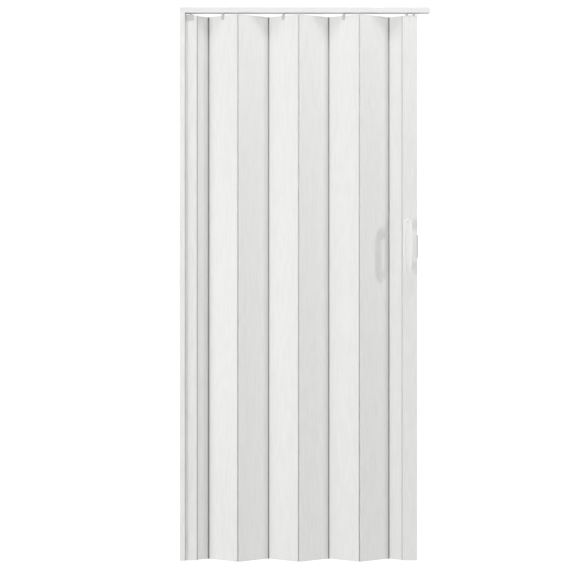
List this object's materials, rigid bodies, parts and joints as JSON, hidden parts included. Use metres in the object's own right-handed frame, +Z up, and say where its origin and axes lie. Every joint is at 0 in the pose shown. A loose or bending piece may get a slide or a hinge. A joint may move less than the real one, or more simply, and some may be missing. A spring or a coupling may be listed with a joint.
{
  "type": "accordion door",
  "caption": "Top-hung folding door of hollow white panels on soft hinge strips, with a head track, wall jamb, fixed end post and a lead post with bow handles.",
  "frame": {"origin": "centre of the track's top face, which meets the head of the opening", "axes": "+X along the track towards the closing side, +Y to the back, +Z up; the front faces -Y"},
  "size_m": [0.918, 0.08, 2.03],
  "materials": {
    "white_pvc": "white, fine wood grain",
    "grey_strip": "soft grey vinyl",
    "grey_nylon": "moulded grey nylon",
    "white_gloss": "moulded white, glossy",
    "screw_steel": "zinc plated",
    "latch_steel": "white paint"
  },
  "bodies": {
    "frame": {"top_track": "white_pvc", "wall_jamb": "white_pvc", "end_post": "white_pvc", "end_post_anchor": "grey_nylon"},
    "left_half_panel": {"left_half_panel": "white_pvc", "hinge_strip_1": "grey_strip"},
    "panel_1": {"panel_1": "white_pvc", "hinge_strip_2": "grey_strip", "hanger_clip_1": "grey_nylon"},
    "panel_2": {"panel_2": "white_pvc", "hinge_strip_3": "grey_strip"},
    "panel_3": {"panel_3": "white_pvc", "hinge_strip_4": "grey_strip", "hanger_clip_2": "grey_nylon"},
    "panel_4": {"panel_4": "white_pvc", "hinge_strip_5": "grey_strip"},
    "panel_5": {"panel_5": "white_pvc", "hinge_strip_6": "grey_strip", "hanger_clip_3": "grey_nylon"},
    "panel_6": {"panel_6": "white_pvc", "hinge_strip_7": "grey_strip"},
    "right_half_panel": {"right_half_panel": "white_pvc"},
    "lead_post": {"lead_post": "white_pvc", "lead_post_cap": "grey_nylon", "lead_glider_1": "grey_nylon", "lead_glider_2": "grey_nylon", "front_handle": "white_gloss", "rear_handle": "white_gloss", "handle_screws": "screw_steel", "latch_plate": "latch_steel", "latch_plate_screws": "screw_steel"},
    "glider_1": {"glider_1": "grey_nylon"},
    "glider_2": {"glider_2": "grey_nylon"},
    "glider_3": {"glider_3": "grey_nylon"}
  },
  "joints": [
    {"name": "end_post_fold", "type": "hinge", "parent": "frame", "child": "left_half_panel", "pos_m": [-0.4108, 0, -1.0295], "axis": [0, 0, 1], "range_deg": [-11.3, 54]},
    {"name": "fold_1", "type": "hinge", "parent": "left_half_panel", "child": "panel_1", "pos_m": [-0.35527, 0.02132, -1.0295], "axis": [0, 0, 1], "range_deg": [-108, 22.6], "deforming": ["hinge_strip_1"]},
    {"name": "fold_2", "type": "hinge", "parent": "panel_1", "child": "panel_2", "pos_m": [-0.2442, -0.02132, -1.0295], "axis": [0, 0, 1], "range_deg": [-22.6, 108], "deforming": ["hinge_strip_2"]},
    {"name": "fold_3", "type": "hinge", "parent": "panel_2", "child": "panel_3", "pos_m": [-0.13314, 0.02132, -1.0295], "axis": [0, 0, 1], "range_deg": [-108, 22.6], "deforming": ["hinge_strip_3"]},
    {"name": "fold_4", "type": "hinge", "parent": "panel_3", "child": "panel_4", "pos_m": [-0.02208, -0.02132, -1.0295], "axis": [0, 0, 1], "range_deg": [-22.6, 108], "deforming": ["hinge_strip_4"]},
    {"name": "fold_5", "type": "hinge", "parent": "panel_4", "child": "panel_5", "pos_m": [0.08899, 0.02132, -1.0295], "axis": [0, 0, 1], "range_deg": [-108, 22.6], "deforming": ["hinge_strip_5"]},
    {"name": "fold_6", "type": "hinge", "parent": "panel_5", "child": "panel_6", "pos_m": [0.20005, -0.02132, -1.0295], "axis": [0, 0, 1], "range_deg": [-22.6, 108], "deforming": ["hinge_strip_6"]},
    {"name": "fold_7", "type": "hinge", "parent": "panel_6", "child": "right_half_panel", "pos_m": [0.31112, 0.02132, -1.0295], "axis": [0, 0, 1], "range_deg": [-108, 22.6], "deforming": ["hinge_strip_7"]},
    {"name": "lead_post_fold", "type": "hinge", "parent": "right_half_panel", "child": "lead_post", "pos_m": [0.36665, 0, -1.0295], "axis": [0, 0, 1], "range_deg": [-11.3, 54]},
    {"name": "glider_1_swivel", "type": "hinge", "parent": "panel_1", "child": "glider_1", "pos_m": [-0.29974, 0, -0.0175], "axis": [0, 0, 1], "range_deg": [-11.3, 54]},
    {"name": "glider_2_swivel", "type": "hinge", "parent": "panel_3", "child": "glider_2", "pos_m": [-0.07761, 0, -0.0175], "axis": [0, 0, 1], "range_deg": [-11.3, 54]},
    {"name": "glider_3_swivel", "type": "hinge", "parent": "panel_5", "child": "glider_3", "pos_m": [0.14452, 0, -0.0175], "axis": [0, 0, 1], "range_deg": [-11.3, 54]}
  ],
  "couplings": [
    {"joint": "fold_1", "follows": "end_post_fold", "ratio": -2},
    {"joint": "fold_2", "follows": "end_post_fold", "ratio": 2},
    {"joint": "fold_3", "follows": "end_post_fold", "ratio": -2},
    {"joint": "fold_4", "follows": "end_post_fold", "ratio": 2},
    {"joint": "fold_5", "follows": "end_post_fold", "ratio": -2},
    {"joint": "fold_6", "follows": "end_post_fold", "ratio": 2},
    {"joint": "fold_7", "follows": "end_post_fold", "ratio": -2},
    {"joint": "lead_post_fold", "follows": "end_post_fold", "ratio": 1},
    {"joint": "glider_1_swivel", "follows": "end_post_fold", "ratio": 1},
    {"joint": "glider_2_swivel", "follows": "end_post_fold", "ratio": 1},
    {"joint": "glider_3_swivel", "follows": "end_post_fold", "ratio": 1}
  ]
}
